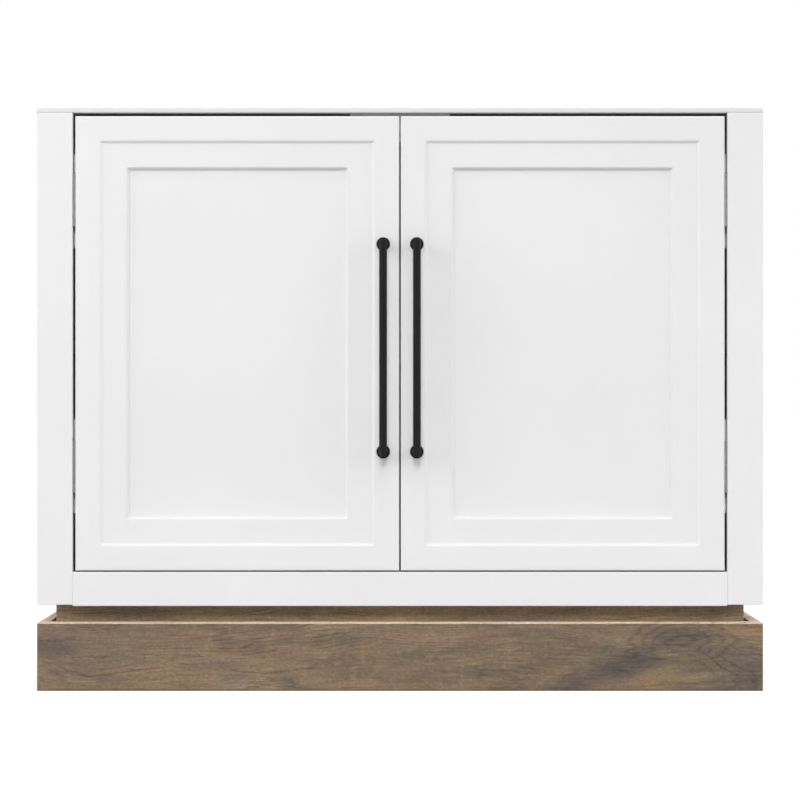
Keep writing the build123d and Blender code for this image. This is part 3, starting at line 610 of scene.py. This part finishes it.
def dress():
    """Gives every piece of the model its finish, by its material slot and how it is cut."""
    by_slot = {
        "white_lacquer": white_lacquer("white_lacquer_satin", lacquer_ease),
        "dowel_wood": dowel_wood(),
        "black_metal": black_metal(),
        "nickel_steel": nickel_steel("satin_nickel"),
        "catch_plastic": catch_plastic(),
        "magnet": sintered_magnet(),
    }
    ply = {through: birch_ply(f"birch_ply_{through.lower()}", through) for through in "XYZ"}
    doors = {side: door_lacquer(side) for side in ("left", "right")}
    by_node = {
        # The top's lacquer is a darker copy of the white: painted shade
        "top_panel": white_lacquer("white_lacquer_top_shaded", lacquer_ease, top_painted_shade, top_specular),
    }
    for name, (along, seed, tone) in stained_boards.items():
        by_node[name] = stained_wood(f"stained_{name}", name, along, seed, tone)
    # The hinges get a darker copy of the nickel: painted shade in the gaps beside the doors
    shaded_hinge_steel = nickel_steel("satin_nickel_hinges_shaded", tone=hinge_shade)
    slots = {row["node"]: row["material_slot"] for row in frame["record"]["subparts"]}
    for name, piece in frame["nodes"].items():
        if name in by_node:
            finish = by_node[name]
        elif slots[name] == "birch_ply":
            low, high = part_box(name)
            sides = high - low
            finish = ply["XYZ"[min(range(3), key=lambda axis: sides[axis])]]
        elif "_door_" in name and slots[name] == "white_lacquer":
            finish = doors[name.split("_")[0]]
        elif "hinge_" in name and slots[name] == "nickel_steel":
            finish = shaded_hinge_steel
        else:
            finish = by_slot[slots[name]]
        for place in piece.material_slots:
            place.material = finish


def seen_directly(tree):
    """1 for rays from the camera, a glossy surface or glass, and 0 for the light on the object."""
    path = tree.nodes.new("ShaderNodeLightPath")
    total = path.outputs["Is Camera Ray"]
    for name in ("Is Glossy Ray", "Is Transmission Ray"):
        larger = tree.nodes.new("ShaderNodeMath")
        larger.operation = "MAXIMUM"
        tree.links.new(total, larger.inputs[0])
        tree.links.new(path.outputs[name], larger.inputs[1])
        total = larger.outputs[0]
    return total


def light_sky():
    """An even sky: white where it is seen, and at its own share where it lights the object."""
    world = bpy.data.worlds.new("studio_sky")
    world.use_nodes = True
    tree = world.node_tree
    strength = tree.nodes.new("ShaderNodeMapRange")
    tree.links.new(seen_directly(tree), strength.inputs["Value"])
    strength.inputs["To Min"].default_value = sky_share
    strength.inputs["To Max"].default_value = 1.0
    background = tree.nodes["Background"]
    background.inputs["Color"].default_value = (1.0, 1.0, 1.0, 1.0)
    tree.links.new(strength.outputs["Result"], background.inputs["Strength"])
    bpy.context.scene.world = world


def add_lamp(name, kind, place, target, **settings):
    """A lamp that shines from a place towards a target."""
    data = bpy.data.lights.new(name, kind)
    for key, value in settings.items():
        setattr(data, key, value)
    lamp = bpy.data.objects.new(name, data)
    bpy.context.scene.collection.objects.link(lamp)
    lamp.location = place
    toward = [end - start for start, end in zip(place, target)]
    lamp.rotation_mode = "QUATERNION"
    lamp.rotation_quaternion = Vector(toward).to_track_quat("-Z", "Y")


def hang_lamps():
    """The suns around the cabinet, and a softbox in front of it."""
    for name, (place, share, width) in suns.items():
        add_lamp(name, "SUN", place, (0.0, 0.0, 0.0),
                 energy=share * math.pi, angle=math.radians(width))
    add_lamp("front_softbox", "AREA", softbox_place, softbox_target,
             energy=softbox_watts, shape="RECTANGLE", size=softbox_side, size_y=softbox_side)


def lay_floor():
    """A pale floor that keeps a soft shadow and shows white around it."""
    mesh = bpy.data.meshes.new("studio_floor")
    corners = [
        (x * floor_reach, y * floor_reach, 0.0) for x, y in ((-1, -1), (1, -1), (1, 1), (-1, 1))
    ]
    mesh.from_pydata(corners, [], [range(4)])
    floor = bpy.data.objects.new("studio_floor", mesh)
    bpy.context.scene.collection.objects.link(floor)
    material = bpy.data.materials.new("studio_floor")
    material.use_nodes = True
    tree = material.node_tree
    shader = tree.nodes["Principled BSDF"]
    shader.inputs["Base Color"].default_value = (floor_grey, floor_grey, floor_grey, 1.0)
    shader.inputs["Roughness"].default_value = 1.0
    shader.inputs["Specular IOR Level"].default_value = 0.0
    shader.inputs["Emission Color"].default_value = (1.0, 1.0, 1.0, 1.0)
    glow = tree.nodes.new("ShaderNodeMath")
    glow.operation = "MULTIPLY"
    glow.inputs[1].default_value = floor_glow
    tree.links.new(seen_directly(tree), glow.inputs[0])
    tree.links.new(glow.outputs[0], shader.inputs["Emission Strength"])
    mesh.materials.append(material)


def place_camera():
    """A level camera in front of the middle, at the photograph's scale and floor line."""
    front_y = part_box("left_stile")[0].y
    metres_per_px = (cad_high.x - cad_low.x) / cabinet_px
    data = bpy.data.cameras.new("photo_camera")
    data.sensor_width = sensor_width
    data.lens = sensor_width * camera_distance / (image_px * metres_per_px)
    camera = bpy.data.objects.new("photo_camera", data)
    bpy.context.scene.collection.objects.link(camera)
    camera.location = (0.0, front_y - camera_distance, floor_below_middle_px * metres_per_px)
    camera.rotation_euler = (math.radians(90.0), 0.0, 0.0)
    bpy.context.scene.camera = camera


place_camera()
dress()
lay_floor()
light_sky()
hang_lamps()
bpy.context.scene.view_settings.view_transform = "Standard"
